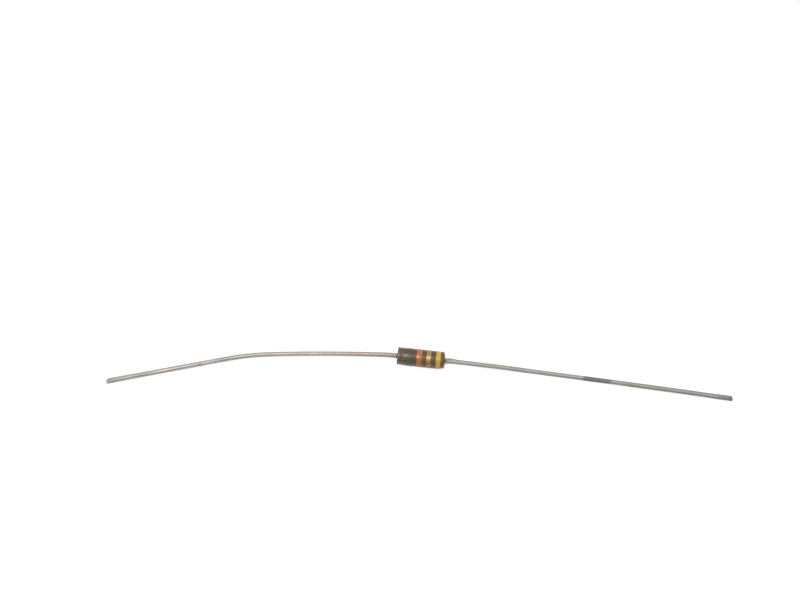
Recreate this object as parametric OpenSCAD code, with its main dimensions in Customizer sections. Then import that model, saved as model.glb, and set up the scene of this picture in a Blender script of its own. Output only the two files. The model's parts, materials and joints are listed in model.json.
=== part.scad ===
// Axial resistor: a hot-moulded carbon composition resistor of a quarter watt, with four colour bands.
// It lies as it would come to rest, on its bands and on the tips of its two leads.
// X runs along the body, Z points up, and the origin is on the ground under the middle of the body.

/* [Moulded body] */
// Length of the body between its end faces, at the leads
body_len = 6.4; // [5.6:0.05:7.2]
// Diameter of the body
body_d = 2.34; // [2.1:0.02:2.6]
// Rounding of the left end's rim
left_rim_r = 0.12; // [0.06:0.02:0.3]
// Rounding of the right end's rim
right_rim_r = 0.24; // [0.06:0.02:0.3]
// Angle at which the left end face rises from the rim to the lead, in degrees
left_end_angle = 1; // [0:1:8]
// Angle at which the right end face rises from the rim to the lead, in degrees
right_end_angle = 14; // [0:1:20]
// Fillet where the moulding meets each lead
lead_fillet_r = 0.12; // [0.06:0.02:0.2]

/* [Resistive core] */
// Diameter of the carbon pellet inside the body
core_d = 1.3; // [1.2:0.05:1.6]
// Length of the carbon pellet
core_len = 4.6; // [4:0.1:5]
// Chamfer round each end of the pellet
core_chamfer = 0.12; // [0.04:0.02:0.14]

/* [Colour bands] */
// Width of the green band
green_band_w = 0.74; // [0.4:0.02:1]
// Width of the orange band
orange_band_w = 0.74; // [0.4:0.02:1]
// Width of the gold band
gold_band_w = 0.6; // [0.4:0.02:1]
// Width of the yellow band
yellow_band_w = 0.62; // [0.4:0.02:1]
// Thickness of the paint
band_t = 0.04; // [0.02:0.005:0.06]
// Width of the sloping shoulder on each side of a band
band_shoulder_w = 0.08; // [0.02:0.02:0.16]
// Distance from the right end face to the middle of the first band
band_inset = 0.98; // [0.8:0.01:1.1]
// Spacing of the bands, middle to middle
band_pitch = 1.25; // [1.1:0.01:1.4]

/* [Leads] */
// Diameter of the lead wire
lead_d = 0.64; // [0.5:0.02:0.8]
// Diameter of the upset head that anchors a lead in the pellet
head_d = 0.94; // [0.86:0.02:1.1]
// Thickness of the upset head
head_t = 0.25; // [0.15:0.05:0.4]
// Depth that a lead reaches into the pellet
anchor_depth = 0.95; // [0.6:0.05:1.5]
// Radius of the bend at the body that lets a lead droop to the ground
droop_r = 8; // [4:1:20]
// Slant of the cut at a lead's tip, away from square, in degrees
tip_cut_angle = 40; // [0:5:50]

/* [Left lead] */
// Length of the left lead beyond its droop
left_lead_len = 38.4; // [30:0.1:60]
// Bend where the left lead leaves the body, in degrees
left_exit_angle = 4.3; // [1:0.1:10]
// Length of wire in that bend
left_exit_arc = 1.9; // [1:0.1:4]
// Slow bow of the left lead's inner half, in degrees
left_bow_angle = 3.4; // [1:0.1:8]
// Length of wire in that bow
left_bow_arc = 14.7; // [10:0.1:18]
// Crook of the left lead's outer half, in degrees
left_crook_angle = 9.5; // [1:0.1:25]
// Length of wire in that crook
left_crook_arc = 5.6; // [3:0.1:7]

/* [Right lead] */
// Length of the right lead beyond its droop
right_lead_len = 37.7; // [30:0.1:60]
// Slow bow of the right lead, in degrees
right_bow_angle = 1.3; // [0.5:0.1:5]
// Length of wire in that bow
right_bow_arc = 18; // [10:0.1:25]

/* [Hidden] */
$fn = 96;

// Half sizes
body_r = body_d / 2;
core_r = core_d / 2;
lead_r = lead_d / 2;
head_r = head_d / 2;
end_x = body_len / 2;

// The body's axis is this high when it lies on its bands.
axis_z = body_r + band_t;

// A lead's shank is straight from its head in the pellet to the end of the fillet round it.
head_x = core_len / 2 - anchor_depth;
shank_end_x = end_x + lead_fillet_r;

// Two runs of a lead meet in a seam this wide and about this deep, over a tapered core of this length.
seam_gap = 0.001;
seam_depth = 0.02;
seam_core_len = 0.2;

// Middle of each band, counted from the right end
first_band_x = end_x - band_inset;
yellow_x = first_band_x;
gold_x = first_band_x - band_pitch;
orange_x = first_band_x - 2 * band_pitch;
green_x = first_band_x - 3 * band_pitch;

// Bends of each lead, from the body outwards: [length of wire in the bend, angle of the bend]
left_bends = [
    [left_exit_arc, left_exit_angle],
    [left_bow_arc, left_bow_angle],
    [left_crook_arc, left_crook_angle]
];
right_bends = [[right_bow_arc, right_bow_angle]];

// Radius of a bend, from its length of wire and its angle
function bend_r(bend) = bend[0] * 180 / (PI * bend[1]);

// Length of wire in the bends from number i on
function bends_len(bends, i = 0) =
    i < len(bends) ? bends[i][0] + bends_len(bends, i + 1) : 0;

// How far a lead reaches out along its droop line, from bend number i on, with the wire at angle h there
function reach(bends, wire, i = 0, h = 0) =
    i < len(bends)
    ? bend_r(bends[i]) * (sin(h + bends[i][1]) - sin(h))
        + reach(bends, wire - bends[i][0], i + 1, h + bends[i][1])
    : wire * cos(h);

// Droop angle that brings the underside of a lead's tip down to the ground
function droop(bends, wire) =
    let (out = reach(bends, wire), fall = axis_z - lead_r)
    atan2(droop_r, out) + asin((fall - droop_r) / norm([out, droop_r]));

// Turns a shape that stands along Z so that it lies along X, on the body's axis
module along_body() {
    translate([0, 0, axis_z])
        rotate([90, 0, 90])
            children();
}

// Half-section of one end of the body, in a plane of radius and height above the body's middle
module end_section(rim_r, angle) {
    rim_z = end_x - (body_r - rim_r - lead_r) * tan(angle) - rim_r / cos(angle);
    fillet_x = lead_r + lead_fillet_r;
    fillet_z = end_x - lead_fillet_r * tan(angle) + lead_fillet_r / cos(angle);
    foot_x = fillet_x - lead_fillet_r * sin(angle);
    foot_z = fillet_z - lead_fillet_r * cos(angle);
    polygon([
        [0, 0],
        [body_r, 0],
        [body_r, rim_z],
        [body_r - rim_r, rim_z],
        [body_r - rim_r + rim_r * sin(angle), rim_z + rim_r * cos(angle)],
        [lead_r, end_x],
        [0, end_x]
    ]);
    translate([body_r - rim_r, rim_z])
        circle(r = rim_r);
    difference() {
        polygon([
            [0, rim_z],
            [foot_x, rim_z],
            [foot_x, foot_z],
            [fillet_x, fillet_z],
            [0, fillet_z]
        ]);
        translate([fillet_x, fillet_z])
            circle(r = lead_fillet_r);
    }
}

// Half-section of the carbon pellet, solid
module core_section() {
    half = core_len / 2;
    polygon([
        [0, -half],
        [core_r - core_chamfer, -half],
        [core_r, core_chamfer - half],
        [core_r, half - core_chamfer],
        [core_r - core_chamfer, half],
        [0, half]
    ]);
}

// Half-section of a lead's head and straight shank
module anchor_section() {
    translate([0, head_x])
        square([head_r, head_t]);
    translate([0, head_x])
        square([lead_r, shank_end_x - head_x]);
}

// A circular bend that starts at the origin along Z and turns towards -X
module bend(radius, angle) {
    translate([-radius, 0, 0])
        rotate([90, 0, 0])
            rotate_extrude(angle = angle)
                translate([radius, 0])
                    circle(r = lead_r);
}

// Starts the next run of wire a hair beyond the last one, and joins the two just under their surface
module next_run() {
    translate([0, 0, -seam_core_len / 2])
        cylinder(h = seam_core_len, r1 = lead_r - seam_depth / 2, r2 = lead_r - 1.5 * seam_depth);
    translate([0, 0, seam_gap])
        children();
}

// Places the run that follows such a bend at the bend's far end, along the wire
module after_bend(radius, angle) {
    translate([radius * (cos(angle) - 1), 0, radius * sin(angle)])
        rotate([0, -angle, 0])
            next_run()
                children();
}

// The last straight run of a lead, cut off at a slant that leaves its underside longest
module tip(run) {
    difference() {
        cylinder(h = run, r = lead_r);
        translate([-lead_d, -lead_r, run])
            rotate([-tip_cut_angle, 0, 0])
                cube(2 * lead_d);
    }
}

// The free wire of a lead, from bend number i to the tip
module free_wire(bends, run, i = 0) {
    if (i < len(bends)) {
        radius = bend_r(bends[i]);
        bend(radius, bends[i][1]);
        after_bend(radius, bends[i][1])
            free_wire(bends, run, i + 1);
    } else {
        tip(run);
    }
}

// One lead in a single piece of wire, reaching out along +X
module lead(bends, wire) {
    angle = droop(bends, wire);
    along_body() {
        rotate_extrude()
            anchor_section();
        translate([0, 0, shank_end_x])
            next_run()
                rotate([0, 0, 90]) {
                    bend(droop_r, angle);
                    after_bend(droop_r, angle)
                        rotate([0, 0, -90])
                            free_wire(bends, wire - bends_len(bends));
                }
    }
}

// Half-section of a ring of paint, with a sloping shoulder on each side
module band_section(width) {
    half = width / 2;
    polygon([
        [body_r, -half],
        [body_r + band_t, band_shoulder_w - half],
        [body_r + band_t, half - band_shoulder_w],
        [body_r, half]
    ]);
}

// A ring of paint round the body
module band(x, width) {
    translate([x, 0, 0])
        along_body()
            rotate_extrude()
                band_section(width);
}

module jacket() {
    color("#6f5c50")
        along_body()
            rotate_extrude()
                difference() {
                    union() {
                        end_section(right_rim_r, right_end_angle);
                        mirror([0, 1])
                            end_section(left_rim_r, left_end_angle);
                    }
                    core_section();
                    translate([0, -body_len])
                        square([lead_r, 2 * body_len]);
                }
}

module resistive_core() {
    color("#2b2a2a")
        along_body()
            rotate_extrude()
                difference() {
                    core_section();
                    anchor_section();
                    mirror([0, 1])
                        anchor_section();
                }
}

module lead_left() {
    color("#b3ada7")
        mirror([1, 0, 0])
            lead(left_bends, left_lead_len);
}

module lead_right() {
    color("#aaa6a1")
        lead(right_bends, right_lead_len);
}

module band_green() {
    color("#57634f")
        band(green_x, green_band_w);
}

module band_orange() {
    color("#cf8052")
        band(orange_x, orange_band_w);
}

module band_gold() {
    color("#bfa172")
        band(gold_x, gold_band_w);
}

module band_yellow() {
    color("#d2b04c")
        band(yellow_x, yellow_band_w);
}

jacket();
resistive_core();
lead_left();
lead_right();
band_green();
band_orange();
band_gold();
band_yellow();
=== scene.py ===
"""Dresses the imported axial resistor: a moulded body, rings of band paint and two swept wire leads."""
import json
import math

import bpy
from mathutils import Matrix, Vector, noise


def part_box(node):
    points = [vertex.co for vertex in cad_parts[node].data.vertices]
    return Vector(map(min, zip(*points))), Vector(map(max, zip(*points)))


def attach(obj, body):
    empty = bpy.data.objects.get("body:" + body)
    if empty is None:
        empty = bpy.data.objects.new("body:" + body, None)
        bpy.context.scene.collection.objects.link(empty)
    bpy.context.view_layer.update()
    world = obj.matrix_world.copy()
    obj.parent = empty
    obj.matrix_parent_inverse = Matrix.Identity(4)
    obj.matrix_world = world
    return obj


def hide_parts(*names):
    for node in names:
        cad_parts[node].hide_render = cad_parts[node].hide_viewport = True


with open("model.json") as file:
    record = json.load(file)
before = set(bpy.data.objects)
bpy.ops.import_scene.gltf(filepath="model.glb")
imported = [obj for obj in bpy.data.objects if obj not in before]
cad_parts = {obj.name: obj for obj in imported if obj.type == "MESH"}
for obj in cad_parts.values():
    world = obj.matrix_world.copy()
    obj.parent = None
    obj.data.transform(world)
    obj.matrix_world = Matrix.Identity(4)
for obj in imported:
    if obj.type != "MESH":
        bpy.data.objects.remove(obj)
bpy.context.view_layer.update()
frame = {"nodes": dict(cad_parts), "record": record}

MM = 0.001

# ---------------------------------------------------------------------------
# Driving sizes in millimetres and degrees, the same as in the part's source
# ---------------------------------------------------------------------------
BODY_LEN = 6.4
LEAD_FILLET_R = 0.12
LEFT_END = {"rim_r": 0.12, "angle": 1.0}
RIGHT_END = {"rim_r": 0.24, "angle": 14.0}

CORE_D = 1.3
CORE_LEN = 4.6
CORE_CHAMFER = 0.12

BAND_T = 0.04

HEAD_D = 0.94
HEAD_T = 0.25
ANCHOR_DEPTH = 0.95
DROOP_R = 8.0
TIP_CUT_ANGLE = 40.0

# Each lead: its length beyond the droop, and its bends as (length of wire in the bend, angle of the bend).
# Its sway is how the real wire strays to the rear of that smooth route, as steps of (start, end, shift).
# Its collar is the share by which the wire widens, or thins if below 0, where it leaves the body.
LEFT_LEAD = {
    "length": 38.4,
    "bends": [(1.9, 4.3), (14.7, 3.4), (5.6, 9.5)],
    "sway": [(2, 14, 0.024), (20, 24, 0.012)],
    "collar": -0.01,
}
RIGHT_LEAD = {
    "length": 37.7,
    "bends": [(18.0, 1.3)],
    "sway": [(0, 0.3, 0.055), (0.8, 1.6, -0.025), (7, 12, -0.03), (17, 23, 0.03), (31, 35, -0.025)],
    "collar": 0.15,
}

# ---------------------------------------------------------------------------
# Places read from the frame, in millimetres
# ---------------------------------------------------------------------------


def box_mm(node):
    """Lowest and highest corner of a CAD node, in millimetres."""
    low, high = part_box(node)
    return low / MM, high / MM


jacket_low, jacket_high = box_mm("jacket")
BODY_R = (jacket_high.z - jacket_low.z) / 2
AXIS_Z = (jacket_high.z + jacket_low.z) / 2
END_X = BODY_LEN / 2
LEAD_R = next(m["dims"]["r_mm"] for m in frame["record"]["mounts"] if m["kind"] == "pin")
SHANK_END_X = END_X + LEAD_FILLET_R
HEAD_X = CORE_LEN / 2 - ANCHOR_DEPTH

# ---------------------------------------------------------------------------
# Camera
# ---------------------------------------------------------------------------
CAMERA_LENS = 100.0
CAMERA_AZIMUTH = math.radians(6.48)
CAMERA_ELEVATION = math.radians(70.0)
CAMERA_DISTANCE = 292.4
# Nearest and farthest that it sees, in metres
CAMERA_CLIP = (0.01, 10.0)
# The body lies this far right of the middle of the view, and this far below it.
BODY_RIGHT = 2.84
BODY_BELOW = 7.683


def make_camera():
    """The camera, looking down at the resistor from the side that its leads bow towards."""
    az, el = CAMERA_AZIMUTH, CAMERA_ELEVATION
    right = Vector((math.cos(az), math.sin(az), 0))
    back = Vector((math.sin(az) * math.cos(el), -math.cos(az) * math.cos(el), math.sin(el)))
    up = back.cross(right)
    aim = Vector((0, 0, AXIS_Z)) - right * BODY_RIGHT + up * BODY_BELOW
    data = bpy.data.cameras.new("camera")
    data.lens = CAMERA_LENS
    data.clip_start, data.clip_end = CAMERA_CLIP
    camera = bpy.data.objects.new("camera", data)
    turn = Matrix((right, up, back)).transposed().to_4x4()
    camera.matrix_world = Matrix.Translation((aim + back * CAMERA_DISTANCE) * MM) @ turn
    bpy.context.scene.collection.objects.link(camera)
    bpy.context.scene.camera = camera


make_camera()

# ---------------------------------------------------------------------------
# Materials
# ---------------------------------------------------------------------------


def colour(code):
    """Scene-linear RGBA of a hex colour."""
    parts = [int(code[i:i + 2], 16) / 255 for i in (1, 3, 5)]
    return [c / 12.92 if c <= 0.04045 else ((c + 0.055) / 1.055) ** 2.4 for c in parts] + [1.0]


class Graph:
    """The node tree of a material or a world, with a method for each kind of node that they use."""

    def __init__(self, owner):
        self.owner = owner
        owner.use_nodes = True
        self.tree = owner.node_tree

    def node(self, name):
        """A node that the tree has from the start."""
        return self.tree.nodes[name]

    def add(self, kind, sockets=(), **settings):
        made = self.tree.nodes.new(kind)
        for key, value in settings.items():
            setattr(made, key, value)
        for key, value in dict(sockets).items():
            self.set(made.inputs[key], value)
        return made

    def set(self, socket, value):
        """Links a socket to another node's output, or gives it a value."""
        if isinstance(value, bpy.types.NodeSocket):
            self.tree.links.new(value, socket)
        else:
            socket.default_value = value

    def shade(self, **sockets):
        """Sets sockets of the material's shader. An underscore in a name stands for a space."""
        for key, value in sockets.items():
            self.set(self.node("Principled BSDF").inputs[key.replace("_", " ")], value)

    def object_mm(self):
        """Place in the row frame, in millimetres."""
        place = self.add("ShaderNodeTexCoord").outputs["Object"]
        return self.scaled(place, (1 / MM,) * 3)

    def attribute(self, name):
        return self.add("ShaderNodeAttribute", attribute_name=name).outputs["Vector"]

    def scaled(self, vector, factors, turn=(0, 0, 0)):
        sockets = {"Vector": vector, "Scale": factors, "Rotation": turn}
        return self.add("ShaderNodeMapping", sockets).outputs["Vector"]

    def part(self, vector, axis):
        return self.add("ShaderNodeSeparateXYZ", {"Vector": vector}).outputs[axis]

    def from_line(self, vector, height=0.0):
        """Distance from the line along X at that height."""
        flat = self.scaled(vector, (0.0, 1.0, 1.0))
        sockets = {0: flat, 1: (0.0, 0.0, height)}
        return self.add("ShaderNodeVectorMath", sockets, operation="DISTANCE").outputs["Value"]

    def noise(self, vector, scale, detail=2.0, roughness=0.5):
        sockets = {"Vector": vector, "Scale": scale, "Detail": detail, "Roughness": roughness}
        return self.add("ShaderNodeTexNoise", sockets).outputs["Fac"]

    def ramp(self, value, low, high, to_low=0.0, to_high=1.0):
        """Eases from to_low to to_high as value goes from low to high, and stays there."""
        sockets = {"Value": value, "From Min": low, "From Max": high, "To Min": to_low, "To Max": to_high}
        return self.add("ShaderNodeMapRange", sockets, interpolation_type="SMOOTHSTEP").outputs["Result"]

    def math(self, operation, a, b=0.0):
        return self.add("ShaderNodeMath", {0: a, 1: b}, operation=operation).outputs["Value"]

    def window(self, value, start, end, ease):
        """1 between start and end, easing to 0 over ease on both sides."""
        rise = self.ramp(value, start - ease / 2, start + ease / 2)
        fall = self.ramp(value, end - ease / 2, end + ease / 2, 1.0, 0.0)
        return self.math("MULTIPLY", rise, fall)

    def blend(self, factor, a, b):
        made = self.add("ShaderNodeMix", data_type="RGBA")
        for index, value in ((0, factor), (6, a), (7, b)):
            self.set(made.inputs[index], value)
        return made.outputs[2]

    def tint(self, base, value, low, high, share, tone):
        """The base, which turns to a tone by up to that share as value goes from low to high."""
        return self.blend(self.ramp(value, low, high, 0.0, share), base, colour(tone))

    def weigh(self, first, second):
        """Sum of two values, each given with its weight."""
        return self.math("ADD", self.math("MULTIPLY", *first), self.math("MULTIPLY", *second))

    def bump(self, height, depth_mm):
        sockets = {"Height": height, "Distance": depth_mm * MM, "Strength": 1.0}
        return self.add("ShaderNodeBump", sockets).outputs["Normal"]


# Tones of the moulding, darker and lighter, left and right of where the body's two halves meet
LEFT_TONES = ("#5e4d44", "#725f52")
RIGHT_TONES = ("#5c4a2f", "#6c593c")
HALVES_MEET = (-1.5, 0.6)
# Further tones along the body: where each begins, where it is full, and its share there
BODY_ZONES = [
    {"begins": -2.6, "full": -2.9, "share": 0.25, "tone": "#7c6e64"},
    {"begins": 1.0, "full": 1.9, "share": 0.5, "tone": "#76583a"},
    {"begins": 2.35, "full": 2.6, "share": 0.35, "tone": "#7a4f26"},
]
# A redder stretch between the green and the orange band
RED_STRETCH = {"start": -1.35, "end": -0.6, "ease": 0.4}
RED_TONE = "#674d40"
# A paler tone at the foot of the right lead. It begins and is full at these distances short of the body's
# end, and at these distances from the lead's axis.
PALER_FOOT = {"short": (0.35, 0.2), "reach": (0.9, 0.5), "tone": "#aea37e"}
# Pale and dark streaks along the flow, which grow from the first to the second of these places. Each kind
# begins and is full at its two levels of the flow's noise.
STREAKS_GROW = (-1.9, -3.0)
STREAKS = [
    {"levels": (0.52, 0.72), "share": 0.95, "tone": "#8b7263"},
    {"levels": (0.46, 0.3), "share": 0.8, "tone": "#4a3c34"},
]
# Changes of roughness: the skin left of the bands is glossier, and its rim is rubbed dull
GLOSS_ZONES = [
    {"begins": -1.7, "full": -2.1, "change": -0.06},
    {"begins": -2.95, "full": -3.1, "change": 0.2},
]
# How strongly the resin and the paint bend light, and how deep their bumps are
RESIN_IOR = 1.6
RESIN_BUMP = 0.003


def moulding_material():
    """Brown hot-moulded phenolic: mottled, streaked along the flow at its left end, with a satin skin."""
    g = Graph(bpy.data.materials.new("moulding"))
    place = g.object_mm()
    along = g.part(place, "X")
    mottle = g.ramp(g.noise(place, 1.4, 4.0, 0.6), 0.35, 0.65)
    left, right = (g.blend(mottle, *map(colour, tones)) for tones in (LEFT_TONES, RIGHT_TONES))
    base = g.blend(g.ramp(along, *HALVES_MEET), left, right)
    base = g.blend(g.window(along, **RED_STRETCH), base, colour(RED_TONE))
    for zone in BODY_ZONES:
        base = g.tint(base, along, zone["begins"], zone["full"], zone["share"], zone["tone"])

    near_end = g.ramp(along, *(END_X - short for short in PALER_FOOT["short"]))
    near_lead = g.ramp(g.from_line(place, AXIS_Z), *PALER_FOOT["reach"])
    base = g.blend(g.math("MULTIPLY", near_end, near_lead), base, colour(PALER_FOOT["tone"]))

    flow = g.noise(g.scaled(place, (1.1, 7.0, 7.0), (0.0, 0.5, 0.45)), 1.0, 3.0, 0.6)
    for streak in STREAKS:
        grown = g.ramp(along, *STREAKS_GROW, 0.0, streak["share"])
        share = g.math("MULTIPLY", g.ramp(flow, *streak["levels"]), grown)
        base = g.blend(share, base, colour(streak["tone"]))
    grain = g.noise(place, 22.0, 3.0, 0.7)
    base = g.tint(base, grain, 0.6, 0.75, 0.35, "#8f8174")

    roughness = g.math("ADD", g.ramp(flow, 0.35, 0.65, 0.3, 0.22), g.ramp(grain, 0.3, 0.7, -0.02, 0.04))
    for zone in GLOSS_ZONES:
        change = g.ramp(along, zone["begins"], zone["full"], 0.0, zone["change"])
        roughness = g.math("ADD", roughness, change)
    fine = g.weigh((flow, 0.6), (grain, 0.2))
    g.shade(Base_Color=base, Roughness=roughness, IOR=RESIN_IOR, Specular_Tint=colour("#fff3e9"))
    g.shade(Normal=g.bump(fine, RESIN_BUMP))
    return g.owner


# The paint's painted shade along its rear rim begins and is full at these places along Y
SHADED_REAR = (0.65, 1.0)
# How far to the front or rear the turn from painted light at the rear to painted shade at the front strays
TURN_STRAYS = 0.3


def paint_material(name, rear, front, streak, sheen, roughness, metallic=0.0, turn=(0.3, -0.8), rear_shade=0.0):
    """Band paint, streaked round the body by the roller and specked, with painted light and shade:
    lighter at the rear, darker at the front, and darkened by painted shade along its rear rim.

    turn gives the places along Y at which the lit rear tone begins to change and the shaded front
    tone is full. The last argument is the share of a dull tone painted as shade along the rear rim.
    """
    g = Graph(bpy.data.materials.new(name))
    place = g.object_mm()
    across = g.part(place, "Y")
    rolled = g.noise(g.scaled(place, (6.0, 1.0, 1.0)), 1.0, 3.0, 0.6)
    cloud = g.noise(place, 1.9, 3.0, 0.5)
    speck = g.noise(place, 26.0, 2.0, 0.6)
    forward = g.math("ADD", across, g.ramp(cloud, 0.3, 0.7, -TURN_STRAYS, TURN_STRAYS))
    # Painted light and shade: a lit tone at the rear, turning to a shaded tone at the front
    base = g.blend(g.ramp(forward, *turn), colour(rear), colour(front))
    base = g.tint(base, rolled, 0.45, 0.75, 0.5, streak)
    base = g.tint(base, speck, 0.66, 0.74, 0.5, "#6b5645")
    # Painted shade: a dull darker tone along the rear rim
    base = g.tint(base, across, *SHADED_REAR, rear_shade, "#5e5440")
    rough = g.ramp(rolled, 0.3, 0.7, roughness - 0.04, roughness + 0.05)
    fine = g.weigh((rolled, 0.8), (speck, 0.2))
    g.shade(Base_Color=base, Roughness=rough, Metallic=metallic, IOR=RESIN_IOR, Specular_Tint=colour(sheen))
    g.shade(Normal=g.bump(fine, RESIN_BUMP))
    return g.owner


# The front of a wire begins and is full at these places across it
FRONT_SIDE = (-0.2 * LEAD_R, 0.7 * LEAD_R)
# Its cut face begins and is full at these distances from its middle
CUT_FACE = (0.98 * LEAD_R, 0.9 * LEAD_R)
# Its near tone begins to change, and its far tone is full, at these shares of its length
TONE_TURNS = (0.45, 0.7)
# Its tip is darker over this length
DARK_TIP = 2.5
WIRE_BUMP = 0.012
CARBON_BUMP = 0.01


def wire_material(name, total, near, far, cut, marks):
    """Tinned copper wire: die lines along it, dull clouds of oxide, marks and stains, and a darker tip.

    The piece's wire attribute says where each point is: along the wire, across it, and its height on it.
    """
    g = Graph(bpy.data.materials.new(name))
    wire = g.attribute("wire")
    along = g.part(wire, "X")
    front = g.ramp(g.part(wire, "Y"), *FRONT_SIDE)
    base = g.blend(g.ramp(along, *(share * total for share in TONE_TURNS)), colour(near), colour(far))
    cloud = g.noise(g.scaled(wire, (0.35, 1.6, 1.6)), 1.0, 4.0, 0.62)
    lines = g.noise(g.scaled(wire, (0.25, 16.0, 16.0)), 1.0, 2.0, 0.5)
    fleck = g.noise(g.scaled(wire, (5.0, 9.0, 9.0)), 1.0, 2.0, 0.6)
    base = g.tint(base, cloud, 0.45, 0.72, 0.2, "#8f8b84")
    base = g.tint(base, lines, 0.5, 0.7, 0.3, "#7c7872")
    base = g.tint(base, fleck, 0.63, 0.72, 0.3, "#e2ddd5")
    base = g.tint(base, fleck, 0.37, 0.28, 0.4, "#5f5a54")
    base = g.tint(base, along, total - DARK_TIP, total, 0.18, "#7b7872")
    base = g.tint(base, g.from_line(wire), *CUT_FACE, 0.5, cut)
    edge = g.ramp(g.noise(wire, 1.3, 3.0, 0.6), 0.3, 0.7, -0.5, 0.5)
    for mark in marks:
        place = g.math("ADD", along, g.math("MULTIPLY", edge, mark["ease"]))
        share = g.math("MULTIPLY", g.window(place, mark["start"], mark["end"], mark["ease"]), mark["share"])
        if mark.get("front_only"):
            share = g.math("MULTIPLY", share, front)
        base = g.blend(share, base, colour(mark["tone"]))
    rough = g.ramp(cloud, 0.3, 0.7, 0.57, 0.66)
    fine = g.weigh((lines, 0.5), (fleck, 0.5))
    g.shade(Base_Color=base, Roughness=rough, Metallic=1.0, Normal=g.bump(fine, WIRE_BUMP))
    return g.owner


def carbon_material():
    """Pressed carbon and resin: dull black, with a fine grain."""
    g = Graph(bpy.data.materials.new("carbon"))
    place = g.object_mm()
    grain = g.noise(place, 18.0, 4.0, 0.7)
    base = g.blend(g.ramp(grain, 0.4, 0.7), colour("#1d1c1c"), colour("#3a3836"))
    rough = g.ramp(grain, 0.3, 0.7, 0.55, 0.8)
    g.shade(Base_Color=base, Roughness=rough, Normal=g.bump(grain, CARBON_BUMP))
    return g.owner


# ---------------------------------------------------------------------------
# Meshes
# ---------------------------------------------------------------------------
AROUND_BODY = 160
# Steps of the body's profile: round a rim, round a fillet, over an end face and along the side
RIM_STEPS = 10
FILLET_STEPS = 8
FACE_STEPS = 10
SIDE_STEPS = 90


def make_piece(name, points, faces, material, node):
    """A smooth piece from points in millimetres. It stands for the CAD node of that name."""
    mesh = bpy.data.meshes.new(name)
    mesh.from_pydata([tuple(c * MM for c in p) for p in points], [], faces)
    mesh.polygons.foreach_set("use_smooth", [True] * len(mesh.polygons))
    mesh.materials.append(material)
    mesh.validate()
    piece = bpy.data.objects.new(name, mesh)
    bpy.context.scene.collection.objects.link(piece)
    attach(piece, "root")
    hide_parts(node)
    return piece


def ring_faces(rings, around, closed):
    """Quads between neighbouring rings of points, and from the last ring to the first if closed.

    They face outwards where the rings follow each other towards +x and turn from +z towards +y.
    """
    faces = []
    for i in range(rings if closed else rings - 1):
        a, b = i * around, (i + 1) % rings * around
        for j in range(around):
            k = (j + 1) % around
            faces.append((a + j, b + j, b + k, a + k))
    return faces


def arc(centre_x, centre_r, radius, start, end, steps):
    """Points (x, r) on an arc. Its angles are in degrees from the +r direction towards +x."""
    points = []
    for i in range(steps + 1):
        t = math.radians(start + (end - start) * i / steps)
        points.append((centre_x + radius * math.sin(t), centre_r + radius * math.cos(t)))
    return points


def line(a, b, steps):
    """Points (x, r) on a straight line, without its two ends."""
    return [tuple(p + (q - p) * i / steps for p, q in zip(a, b)) for i in range(1, steps)]


def end_profile(rim_r, angle, fillet_r=LEAD_FILLET_R):
    """Profile of an end that faces +x, from the body's side to the lead."""
    tilt = math.radians(angle)
    rim_x = END_X - (BODY_R - rim_r - LEAD_R) * math.tan(tilt) - rim_r / math.cos(tilt)
    fillet_x = END_X + fillet_r * (1 / math.cos(tilt) - math.tan(tilt))
    rim = arc(rim_x, BODY_R - rim_r, rim_r, 0, 90 - angle, RIM_STEPS)
    fillet = arc(fillet_x, LEAD_R + fillet_r, fillet_r, 270 - angle, 180, FILLET_STEPS)
    return rim + line(rim[-1], fillet[0], FACE_STEPS) + fillet


def lathe(profile, shape):
    """Points of a profile turned about the body's axis. shape gives (x, r) for an entry and an angle."""
    points = []
    for entry in profile:
        for j in range(AROUND_BODY):
            t = 2 * math.pi * j / AROUND_BODY
            x, r = shape(*entry, t)
            points.append((x, r * math.sin(t), AXIS_Z + r * math.cos(t)))
    return points


# ---------------------------------------------------------------------------
# Moulded body
# ---------------------------------------------------------------------------
# Both ends of the skin taper in on one side, deepest at this angle about the axis: low on the front
TAPER_AT = math.radians(-105)
LEFT_TAPER = {"start": 1.9, "end": 3.2, "depth": 0.05}
RIGHT_TAPER = {"start": 2.1, "end": 2.9, "depth": 0.11}
# A faint wave all over the skin: its depth, and how fast it goes along the body and round it
WAVE_DEPTH = 0.005
WAVE_ALONG = 0.9
WAVE_ROUND = 1.3
# Faint steps in the top of the skin, where it draws in towards the left end, with a rise between them
STEPS_AT = math.radians(-15)
LEFT_STEPS = [
    {"start": 1.8, "end": 2.5, "depth": 0.028},
    {"start": 2.65, "end": 2.85, "depth": -0.006},
    {"start": 2.9, "end": 3.1, "depth": 0.012},
]
# The skin's dips fade out below it, from the body's radius down to this share of it
SKIN_SHARE = 0.8
# How far the right end face falls short of its nominal place, at its front and at its rear, and between
# which places across it, as shares of its radius, the one turns to the other
END_SHORT = (0.01, 0.055)
SHORT_TURNS = (-0.3, 0.6)
# That shift begins and is full at these distances from the end, and the rim goes without this share of it
SHORT_REACH = (0.8, 0.3)
RIM_STAYS = 0.55
# Radius of the skirt of resin round the right lead, which is larger than the nominal fillet
RIGHT_SKIRT_R = 0.25


def ease(value, low, high):
    """Eases from 0 to 1 as value goes from low to high."""
    share = min(max((value - low) / (high - low), 0), 1)
    return share * share * (3 - 2 * share)


def depth_at(place, zone):
    """Depth of a taper or a step at a distance from the body's middle."""
    return zone["depth"] * ease(place, zone["start"], zone["end"])


def one_sided(t, at):
    """1 at one angle about the axis, falling to 0 a quarter turn to each side of it."""
    return max(math.cos(t - at), 0) ** 2


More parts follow.
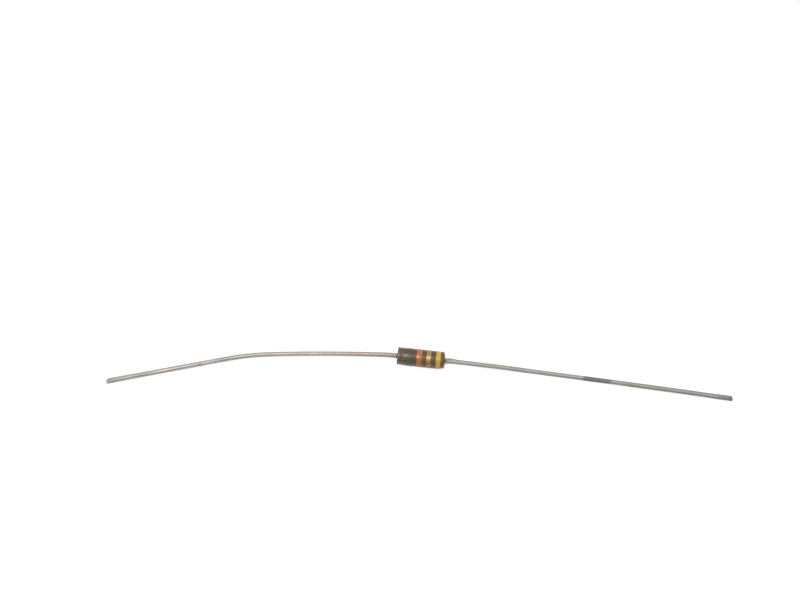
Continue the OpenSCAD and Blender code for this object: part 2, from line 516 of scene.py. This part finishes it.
def skin_dip(x, t):
    """How far the body's skin lies inside its nominal radius: one-sided tapers, steps and a faint wave."""
    dip = depth_at(abs(x), LEFT_TAPER if x < 0 else RIGHT_TAPER) * one_sided(t, TAPER_AT)
    dip += sum(depth_at(-x, step) for step in LEFT_STEPS) * one_sided(t, STEPS_AT)
    wave = noise.noise(Vector((x * WAVE_ALONG, WAVE_ROUND * math.cos(t), WAVE_ROUND * math.sin(t))))
    return dip + WAVE_DEPTH * (0.5 + 0.5 * wave)


def skin_shape(x, r, t):
    """Moves a point of the body's outside to its real place, and leaves the bore and the cavity alone."""
    outer = ease(r, SKIN_SHARE * BODY_R, BODY_R)
    front, rear = END_SHORT
    short = front + (rear - front) * ease(math.sin(t), *SHORT_TURNS)
    reach = ease(x, *(END_X - away for away in SHORT_REACH)) * (1 - RIM_STAYS * outer)
    return x - short * reach, r - outer * skin_dip(x, t)


def make_jacket():
    right = end_profile(**RIGHT_END, fillet_r=RIGHT_SKIRT_R)
    left = [(-x, r) for x, r in end_profile(**LEFT_END)][::-1]
    side = line(left[-1], right[0], SIDE_STEPS)
    half, core_r = CORE_LEN / 2, CORE_D / 2
    cavity = [
        (half, LEAD_R),
        (half, core_r - CORE_CHAMFER),
        (half - CORE_CHAMFER, core_r),
        (CORE_CHAMFER - half, core_r),
        (-half, core_r - CORE_CHAMFER),
        (-half, LEAD_R),
    ]
    profile = left + side + right + cavity
    points = lathe(profile, skin_shape)
    faces = ring_faces(len(profile), AROUND_BODY, closed=True)
    make_piece("moulded_body", points, faces, moulding_material(), "jacket")


make_jacket()

# ---------------------------------------------------------------------------
# Bands of paint
# ---------------------------------------------------------------------------
# How deep the paint's inside lies under the skin, and how deep its edges do
BAND_KEY = 0.02
EDGE_SINK = 0.001
# How far the edges wander, how fast they do so round the body, and how far apart the noise of the two is
EDGE_WANDER = 0.018
WANDER_ROUND = 1.6
WANDER_APART = 9
BAND_STEPS = 36
# The paint's section: the shoulder's height as a share of its thickness, the furrow's place and width as
# shares of its width, and how sharply it ends at its right edge
SHOULDER_HEIGHT = 0.8
FURROW_AT = 0.64
FURROW_WIDTH = 0.13
EDGE_SHARPNESS = 14


def paint_height(share, shoulder, furrow):
    """Height of the paint, as a share of its thickness: up a shoulder, then gently on past a furrow."""
    if share < shoulder:
        rise = SHOULDER_HEIGHT * (1 - (1 - share / shoulder) ** 2)
    else:
        rise = SHOULDER_HEIGHT + (1 - SHOULDER_HEIGHT) * (share - shoulder) / (1 - shoulder)
    groove = furrow * math.exp(-((share - FURROW_AT) / FURROW_WIDTH) ** 2)
    return rise * (1 - groove) * (1 - share ** EDGE_SHARPNESS)


def make_band(node, thickness, shoulder, furrow, slant, seed, material):
    """One ring of paint, keyed into the skin, set slightly askew and with wandering edges."""
    low, high = box_mm(node)
    width = high.x - low.x

    def ring_shape(x, share, keyed, t):
        start = Vector((WANDER_ROUND * math.cos(t), WANDER_ROUND * math.sin(t), seed))
        wander = noise.noise(start + Vector((0, 0, WANDER_APART * round(share))))
        inset = EDGE_WANDER * (0.5 + 0.5 * wander)
        px = x + inset * (1 - 2 * share) - slant * math.sin(t)
        skin = BODY_R - skin_dip(px, t)
        rise = thickness * BAND_T * paint_height(share, shoulder, furrow)
        return px, skin - BAND_KEY if keyed else skin + rise - EDGE_SINK

    outside = [(low.x + width * i / BAND_STEPS, i / BAND_STEPS, False) for i in range(BAND_STEPS + 1)]
    inside = [(x, share, True) for x, share, _ in outside[::-1]]
    points = lathe(outside + inside, ring_shape)
    faces = ring_faces(len(outside + inside), AROUND_BODY, closed=True)
    make_piece(node + "_paint", points, faces, material, node)


# Each paint's tones at the rear and the front, the first painted light and the second painted shade,
# and those of its streaks and its gloss
green = paint_material("paint_green", "#4d5547", "#4e5544", "#5c6252", "#f4f6f0", roughness=0.34)
orange = paint_material("paint_orange", "#c77b52", "#b3713c", "#c88954", "#ffe8d2", roughness=0.17, rear_shade=0.2)
gold = paint_material(
    "paint_gold", "#b89b66", "#957a54", "#cab27a", "#fff4e2",
    roughness=0.33, metallic=0.35, turn=(-0.75, -1.1), rear_shade=0.5,
)
yellow = paint_material("paint_yellow", "#dcb950", "#ceaa42", "#dfc05d", "#fff0c4", roughness=0.25)
make_band("band_green", thickness=0.5, shoulder=0.2, furrow=0.0, slant=0.034, seed=1.0, material=green)
make_band("band_orange", thickness=1.0, shoulder=0.6, furrow=0.0, slant=0.025, seed=2.0, material=orange)
make_band("band_gold", thickness=0.62, shoulder=0.45, furrow=0.45, slant=0.0, seed=3.0, material=gold)
make_band("band_yellow", thickness=0.5, shoulder=0.3, furrow=0.15, slant=0.03, seed=4.0, material=yellow)

# ---------------------------------------------------------------------------
# Wire leads
# ---------------------------------------------------------------------------
AROUND_WIRE = 40
RING_STEP = 0.2
# The collar of a wire fades over this stretch
COLLAR_REACH = (0.2, 1.6)
# The share by which a wire is thinner along its inner part, and wider along its outer part
INNER_SLIM = 0.045
OUTER_WIDE = 0.015
# The first starts over this stretch, and the second takes over between these shares of the wire's length
SLIM_STARTS = (-0.1, 0.1)
WIDE_STARTS = (0.6, 0.7)
# The tip is wider still by this share, which begins and is full at these distances from its end
TIP_FLARE = 0.07
FLARE_REACH = (4, 2)
# Rings over the flat of the upset head, as shares of its radius
HEAD_RINGS = (0.25, 0.6, 1.0)
# The slanted cut at the tip, and the stretch of wire that goes over to its slant with a little to spare
CUT_SLANT = math.tan(math.radians(TIP_CUT_ANGLE))
CUT_SPARE = 0.05
CUT_ROOM = 2 * LEAD_R * CUT_SLANT + CUT_SPARE
# Rings of the tip as (share of the wire's radius, share of the cut's slant, distance behind the cut)
TIP_RINGS = [(1.0, 0.3, 0.0), (1.0, 0.6, 0.0), (1.0, 1.0, 0.03), (0.985, 1.0, 0.01)]
TIP_RINGS += [(share, 1.0, 0.0) for share in (0.95, 0.8, 0.6, 0.4, 0.2)]


def wire_reach(bends, length):
    """How far a lead reaches out along its droop line."""
    out, heading = 0.0, 0.0
    for arc_len, angle in bends:
        radius = arc_len / math.radians(angle)
        turned = heading + math.radians(angle)
        out += radius * (math.sin(turned) - math.sin(heading))
        heading = turned
        length -= arc_len
    return out + length * math.cos(heading)


def droop_angle(reach):
    """Droop in radians that brings the underside of a lead's tip down to the ground."""
    fall = AXIS_Z - LEAD_R
    return math.atan2(DROOP_R, reach) + math.asin((fall - DROOP_R) / math.hypot(reach, DROOP_R))


def stations(run):
    """Distances at about even steps along a run of wire, up to its end."""
    count = max(2, round(run / RING_STEP))
    return [run * i / count for i in range(1, count + 1)]


def wire_route(length, bends):
    """Centre line of a lead towards +x: a straight shank, the droop, and the bends to the front.

    Each station is (place, direction along the wire, direction upwards, distance from the body's end).
    """
    east, top, front = Vector((1, 0, 0)), Vector((0, 0, 1)), Vector((0, -1, 0))
    head = Vector((HEAD_X, 0, AXIS_Z))
    shank = SHANK_END_X - HEAD_X
    route = [(head + s * east, east, top, s - shank) for s in [0.0, *stations(shank)]]

    corner = head + shank * east
    for s in stations(DROOP_R * droop_angle(wire_reach(bends, length))):
        t = s / DROOP_R
        out = math.cos(t) * east - math.sin(t) * top
        up = math.sin(t) * east + math.cos(t) * top
        route.append((corner + DROOP_R * (up - top), out, up, s))

    corner, out, up, done = route[-1]
    heading = 0.0
    straight = length - sum(run for run, _ in bends)
    for run, angle in [*bends, (straight, 0.0)]:
        for s in stations(run):
            turn = math.radians(angle) * s / run
            chord = s * (math.sin(turn / 2) / (turn / 2) if turn else 1)
            mid = heading + turn / 2
            place = corner + chord * (math.cos(mid) * out + math.sin(mid) * front)
            ahead = math.cos(heading + turn) * out + math.sin(heading + turn) * front
            route.append((place, ahead, up, done + s))
        corner, heading, done = place, heading + math.radians(angle), done + run
    return route


def wire_width(s, total, collar):
    """Width of the wire at a distance from the body, as a share of its nominal size."""
    inner = (collar + INNER_SLIM) * (1 - ease(s, *COLLAR_REACH)) - INNER_SLIM
    outer = (OUTER_WIDE + INNER_SLIM) * ease(s, *(share * total for share in WIDE_STARTS))
    flare = TIP_FLARE * ease(s, *(total - away for away in FLARE_REACH))
    return 1 + inner * ease(s, *SLIM_STARTS) + outer + flare


def make_lead(node, sign, lead, near, far, cut, marks):
    """One lead: the upset head in the pellet, the bent wire, and the slanted cut at its tip.

    sign is 1 for the lead towards +x and -1 for the other. near, far and cut are its tones close to the
    body, far from it and on the cut.
    """
    route = wire_route(lead["length"], lead["bends"])
    total = route[-1][3]
    rear = Vector((0, 1, 0))
    points, coords = [], []

    def put(place, ahead, up, s, height, across):
        wide = across * wire_width(s, total, lead["collar"])
        shift = rear * sum(amount * ease(s, low, high) for low, high, amount in lead["sway"])
        points.append(place + shift + up * height + ahead.cross(up) * wide)
        coords.append((s, across, height))

    def circle(radius):
        turns = [2 * math.pi * j / AROUND_WIRE for j in range(AROUND_WIRE)]
        return [(radius * math.cos(t), radius * math.sin(t)) for t in turns]

    # Upset head, and the wire up to the tip
    head, ahead, up, start = route[0]
    head_end = (head + HEAD_T * ahead, ahead, up, start + HEAD_T)
    rings = [(*route[0], share * HEAD_D / 2) for share in HEAD_RINGS]
    rings += [(*head_end, HEAD_D / 2), (*head_end, LEAD_R)]
    rings += [(*station, LEAD_R) for station in route if start + HEAD_T < station[3] < total - CUT_ROOM]
    for *station, radius in rings:
        for height, across in circle(radius):
            put(*station, height, across)

    # Slanted cut
    tip, ahead, up, _ = route[-1]
    for share, lean, behind in TIP_RINGS:
        for height, across in circle(share * LEAD_R):
            away = CUT_ROOM + lean * ((height + LEAD_R) * CUT_SLANT - CUT_ROOM) + behind
            put(tip - away * ahead, ahead, up, total - away, height, across)

    # Both ends are closed by a fan about a point in the middle
    faces = ring_faces(len(points) // AROUND_WIRE, AROUND_WIRE, closed=False)
    inner, outer = len(points), len(points) + 1
    last = len(points) - AROUND_WIRE
    put(*route[0], 0, 0)
    away = LEAD_R * CUT_SLANT
    put(tip - away * ahead, ahead, up, total - away, 0, 0)
    for j in range(AROUND_WIRE):
        k = (j + 1) % AROUND_WIRE
        faces.append((inner, j, k))
        faces.append((outer, last + k, last + j))

    # These rings turn towards -y, so their faces look outwards only on the mirrored lead
    if sign > 0:
        faces = [face[::-1] for face in faces]
    else:
        points = [(-x, y, z) for x, y, z in points]
    material = wire_material(node + "_wire", total, near, far, cut, marks)
    piece = make_piece(node + "_wire", points, faces, material, node)
    wire = piece.data.attributes.new("wire", "FLOAT_VECTOR", "POINT")
    wire.data.foreach_set("vector", [c for point in coords for c in point])


# Marks on each lead, by their distance from the body along the wire. The grey ones kept to the front of
# the right lead are painted shade, darker along its lower side.
LEFT_MARKS = [
    {"start": -2.0, "end": 0.8, "ease": 0.9, "share": 0.4, "tone": "#8f8478"},
    {"start": 1.2, "end": 2.7, "ease": 0.8, "share": 0.27, "tone": "#9a9792"},
    {"start": 4.2, "end": 5.6, "ease": 0.8, "share": 0.4, "tone": "#d3c0b0"},
    {"start": 6.0, "end": 29.0, "ease": 2.0, "share": 0.15, "tone": "#e6dfd7", "front_only": True},
    {"start": 8.4, "end": 10.8, "ease": 0.8, "share": 0.25, "tone": "#e0d8d2"},
    {"start": 16.5, "end": 21.8, "ease": 1.0, "share": 0.1, "tone": "#8f8b86"},
    {"start": 22.0, "end": 23.4, "ease": 0.5, "share": 0.25, "tone": "#8d8984"},
    {"start": 24.2, "end": 25.6, "ease": 0.6, "share": 0.3, "tone": "#e0dbd5"},
    {"start": 25.95, "end": 26.12, "ease": 0.15, "share": 0.65, "tone": "#45413d", "front_only": True},
    {"start": 28.0, "end": 31.4, "ease": 0.7, "share": 0.2, "tone": "#d2bdb8"},
]
RIGHT_MARKS = [
    # Painted shade along the front, lower side of the right lead, over most of its length
    {"start": 1.0, "end": 9.5, "ease": 2.0, "share": 0.17, "tone": "#7c7872", "front_only": True},
    {"start": 9.5, "end": 40.0, "ease": 2.0, "share": 0.32, "tone": "#7c7872", "front_only": True},
    {"start": 22.0, "end": 27.2, "ease": 0.8, "share": 0.15, "tone": "#d6cac6"},
    {"start": -2.0, "end": 0.6, "ease": 1.0, "share": 0.25, "tone": "#9a8c78"},
    {"start": 6.5, "end": 8.5, "ease": 0.8, "share": 0.4, "tone": "#b9bbaa"},
    {"start": 18.1, "end": 19.2, "ease": 0.6, "share": 0.75, "tone": "#7d7d72"},
    {"start": 19.0, "end": 21.6, "ease": 0.4, "share": 0.8, "tone": "#848485"},
    {"start": 24.0, "end": 25.2, "ease": 0.6, "share": 0.3, "tone": "#a5826c", "front_only": True},
    {"start": 32.6, "end": 35.4, "ease": 0.8, "share": 0.2, "tone": "#d2d4cc"},
    # Painted shade, a little more of it on the front side near the tip
    {"start": 35.6, "end": 40.0, "ease": 0.8, "share": 0.12, "tone": "#7c7872", "front_only": True},
]
make_lead("lead_left", -1, LEFT_LEAD, "#cac2bb", "#c6c2be", "#d2cfcb", LEFT_MARKS)
make_lead("lead_right", 1, RIGHT_LEAD, "#cbc5c1", "#bec0b9", "#70706b", RIGHT_MARKS)

core = frame["nodes"]["resistive_core"]
core.data.materials.clear()
core.data.materials.append(carbon_material())

# ---------------------------------------------------------------------------
# Floor, world and lights
# ---------------------------------------------------------------------------
FLOOR_HALF = 1.5
# What the floor shows of its own to the camera, and how strongly the light on it adds to that
FLOOR_WHITE = 0.9
FLOOR_LIT = 0.2
# The room is brightest towards this direction. It is dimmest and brightest where the cosine of the angle
# to that direction is at the two ends of its range, and its strengths there are those of ROOM_GLOW.
BRIGHT_WAY = (0.0, 0.34, 0.94)
BRIGHT_RANGE = (-0.4, 0.85)
ROOM_GLOW = (0.15, 0.44)
# The only lamp, a softbox overhead
KEY_LAMP = {"place": (-130, -6, 405), "size": (220, 140), "radiance": 10.6}


def seen_directly(g):
    """1 for rays that should meet the white background: camera, glossy and transmission rays."""
    rays = g.add("ShaderNodeLightPath").outputs
    value = rays["Is Camera Ray"]
    for name in ("Is Glossy Ray", "Is Transmission Ray"):
        value = g.math("MAXIMUM", value, rays[name])
    return value


def make_floor():
    """A pale floor that shows as white, with a share of the object's shadow."""
    h = FLOOR_HALF
    mesh = bpy.data.meshes.new("floor")
    mesh.from_pydata([(-h, -h, 0), (h, -h, 0), (h, h, 0), (-h, h, 0)], [], [(0, 1, 2, 3)])
    floor = bpy.data.objects.new("floor", mesh)
    bpy.context.scene.collection.objects.link(floor)
    g = Graph(bpy.data.materials.new("floor"))
    tone = g.noise(g.object_mm(), 0.02, 2.0, 0.5)
    base = g.blend(g.ramp(tone, 0.3, 0.7), colour("#c9c9c9"), colour("#cfcfcf"))
    g.shade(Base_Color=base, Roughness=0.9)
    lit = g.node("Principled BSDF").outputs["BSDF"]
    white = g.add("ShaderNodeEmission", {"Strength": FLOOR_WHITE}).outputs["Emission"]
    faint = g.add("ShaderNodeBsdfDiffuse", {"Color": (FLOOR_LIT, FLOOR_LIT, FLOOR_LIT, 1)}).outputs["BSDF"]
    shown = g.add("ShaderNodeAddShader", {0: white, 1: faint}).outputs["Shader"]
    both = g.add("ShaderNodeMixShader", {0: seen_directly(g), 1: lit, 2: shown}).outputs["Shader"]
    g.set(g.node("Material Output").inputs["Surface"], both)
    mesh.materials.append(g.owner)


def make_world():
    """A soft white room, brighter overhead and behind the object than on the camera's side."""
    g = Graph(bpy.data.worlds.new("studio"))
    bpy.context.scene.world = g.owner
    way = g.add("ShaderNodeTexCoord").outputs["Generated"]
    lean = g.add("ShaderNodeVectorMath", {0: way, 1: BRIGHT_WAY}, operation="DOT_PRODUCT").outputs["Value"]
    glow = g.ramp(lean, *BRIGHT_RANGE, *ROOM_GLOW)
    seen = g.add("ShaderNodeLightPath").outputs["Is Camera Ray"]
    background = g.node("Background").inputs
    g.set(background["Color"], (1, 1, 1, 1))
    g.set(background["Strength"], g.math("MAXIMUM", glow, seen))


def make_softbox(name, place, size, radiance):
    """A softbox at a place in millimetres, facing the body. Its surface shines at that radiance."""
    data = bpy.data.lights.new(name, "AREA")
    data.shape = "RECTANGLE"
    data.size, data.size_y = size[0] * MM, size[1] * MM
    data.energy = radiance * math.pi * data.size * data.size_y
    lamp = bpy.data.objects.new(name, data)
    lamp.location = Vector(place) * MM
    lamp.rotation_mode = "QUATERNION"
    lamp.rotation_quaternion = Vector(place).to_track_quat("Z", "Y")
    bpy.context.scene.collection.objects.link(lamp)


make_floor()
make_world()
make_softbox("key", **KEY_LAMP)

bpy.context.scene.view_settings.view_transform = "Standard"
